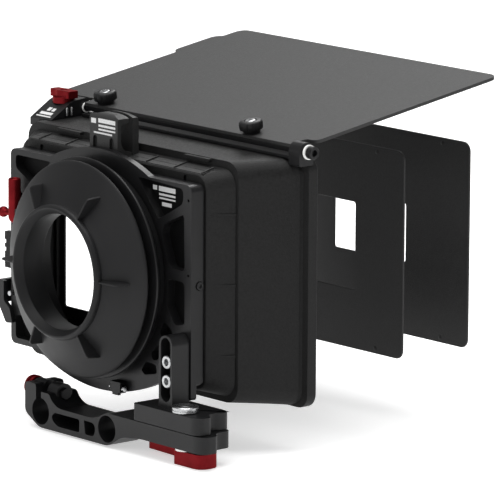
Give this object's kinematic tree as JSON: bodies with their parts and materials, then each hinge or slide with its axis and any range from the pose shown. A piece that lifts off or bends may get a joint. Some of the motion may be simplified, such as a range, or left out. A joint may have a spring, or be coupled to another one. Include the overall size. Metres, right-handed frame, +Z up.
{
  "type": "matte box",
  "caption": "Swing-away matte box with a rubber lens donut, filter trays, flared hood, tilting top flag, masks and a clamp for two parallel support rods.",
  "frame": {"origin": "midway between the two rod bores, on the rear face of the rod clamp", "axes": "+X to the right looking forward along the lens axis, +Y forward along the lens axis and the rods, +Z up"},
  "size_m": [0.239, 0.2383, 0.2004],
  "materials": {
    "black_anodised": "satin black anodised",
    "black_polymer": "fine textured matt black",
    "black_rubber": "smooth satin rubber",
    "red_anodised": "satin red anodised",
    "bright_steel": "turned steel",
    "white_nylon": "smooth white plastic"
  },
  "bodies": {
    "clamp": {"rod_clamp": "black_anodised", "clamp_stud": "bright_steel", "pivot_screw": "bright_steel", "lever_washer": "white_nylon"},
    "clamp_knob": {"clamp_knob": "red_anodised"},
    "swing_lever": {"swing_lever": "red_anodised"},
    "swing_arm": {"swing_arm": "black_anodised"},
    "matte_box": {"ring_plate": "black_anodised", "height_screw_upper": "bright_steel", "height_screw_lower": "bright_steel", "lens_ring": "black_anodised", "donut": "black_rubber", "ring_catch": "black_anodised", "catch_pin": "bright_steel", "side_latch": "black_anodised", "latch_pin": "bright_steel", "side_rack": "black_polymer", "stage_body": "black_polymer", "stage_screw": "black_anodised", "hood": "black_polymer", "wide_mask": "black_polymer", "hinge_base": "black_anodised", "hinge_block_right": "black_anodised", "hinge_block_left": "black_anodised", "hinge_washer_right": "white_nylon", "hinge_washer_left": "white_nylon", "index_pin_rear": "bright_steel", "index_pin_front": "bright_steel"},
    "ring_lever": {"ring_lever": "red_anodised"},
    "rear_tray": {"rear_tray": "black_polymer"},
    "front_tray": {"front_tray": "black_polymer"},
    "near_mask": {"near_mask": "black_polymer"},
    "far_mask": {"far_mask": "black_polymer"},
    "wing_knob": {"wing_knob": "red_anodised"},
    "flag": {"flag": "black_polymer", "hinge_bar": "black_anodised", "hinge_screw": "black_anodised"},
    "flag_knob_left": {"flag_knob_left": "black_anodised", "knob_cap_left": "bright_steel"},
    "flag_knob_right": {"flag_knob_right": "black_anodised", "knob_cap_right": "bright_steel"}
  },
  "joints": [
    {"name": "arm_swing", "type": "hinge", "parent": "clamp", "child": "swing_arm", "pos_m": [0.091, 0.0066, 0.0142], "axis": [0, 0, -1], "range_deg": [0, 100]},
    {"name": "height_slide", "type": "slide", "parent": "swing_arm", "child": "matte_box", "axis": [0, 0, 1], "range_m": [-0.0022, 0.0095]},
    {"name": "clamp_knob_turn", "type": "hinge", "parent": "clamp", "child": "clamp_knob", "pos_m": [-0.048, 0.0102, 0.0105], "axis": [1, 0, 0], "continuous": true},
    {"name": "swing_lever_turn", "type": "hinge", "parent": "clamp", "child": "swing_lever", "pos_m": [0.091, 0.0066, -0.0065], "axis": [0, 0, 1], "range_deg": [-90, 45]},
    {"name": "ring_lever_turn", "type": "hinge", "parent": "matte_box", "child": "ring_lever", "pos_m": [-0.0706, 0.0131, 0.1068], "axis": [1, 0, 0], "range_deg": [0, 90]},
    {"name": "rear_tray_lift", "type": "slide", "parent": "matte_box", "child": "rear_tray", "axis": [0, 0, 1], "range_m": [0, 0.12]},
    {"name": "front_tray_lift", "type": "slide", "parent": "matte_box", "child": "front_tray", "axis": [0, 0, 1], "range_m": [0, 0.12]},
    {"name": "near_mask_slide", "type": "slide", "parent": "matte_box", "child": "near_mask", "axis": [0, 1, 0], "range_m": [-0.122, 0.02]},
    {"name": "far_mask_slide", "type": "slide", "parent": "near_mask", "child": "far_mask", "axis": [0, 1, 0], "range_m": [-0.0465, 0.02]},
    {"name": "wing_knob_turn", "type": "hinge", "parent": "matte_box", "child": "wing_knob", "pos_m": [-0.091, 0.0652, 0.1675], "axis": [0, 0, 1], "continuous": true},
    {"name": "flag_tilt", "type": "hinge", "parent": "matte_box", "child": "flag", "pos_m": [0, 0.0738, 0.1614], "axis": [1, 0, 0], "range_deg": [-12, 60]},
    {"name": "flag_knob_left_turn", "type": "hinge", "parent": "flag", "child": "flag_knob_left", "pos_m": [-0.065, 0.07656, 0.16187], "axis": [0, -0.1685, 0.9857], "continuous": true},
    {"name": "flag_knob_right_turn", "type": "hinge", "parent": "flag", "child": "flag_knob_right", "pos_m": [0.065, 0.07656, 0.16187], "axis": [0, -0.1685, 0.9857], "continuous": true}
  ]
}
